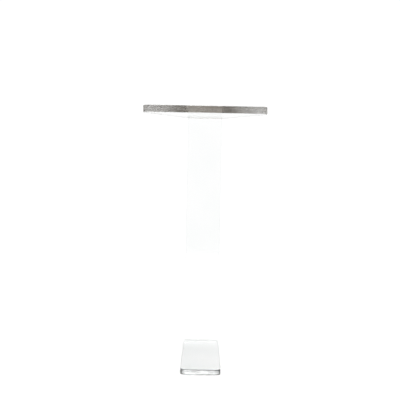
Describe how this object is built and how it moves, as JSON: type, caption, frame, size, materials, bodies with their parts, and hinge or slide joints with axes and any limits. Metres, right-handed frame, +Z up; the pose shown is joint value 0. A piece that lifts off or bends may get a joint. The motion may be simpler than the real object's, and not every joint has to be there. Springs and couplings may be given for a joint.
{
  "type": "headphone stand",
  "caption": "Clear acrylic headphone stand: a heat-bent strip as upright and foot, with a flared rest plate bonded across its top.",
  "frame": {"origin": "on the table, under the middle of the stand's bounding box", "axes": "+Z up along the upright; the foot and the rest reach towards -Y; X runs across the stand, which is the same on both sides"},
  "size_m": [0.102, 0.125, 0.205],
  "materials": {
    "clear_acrylic": "clear cast acrylic sheet with polished faces and flame-polished edges"
  },
  "bodies": {
    "root": {"headband_rest": "clear_acrylic", "bent_upright_and_foot": "clear_acrylic"}
  },
  "joints": []
}
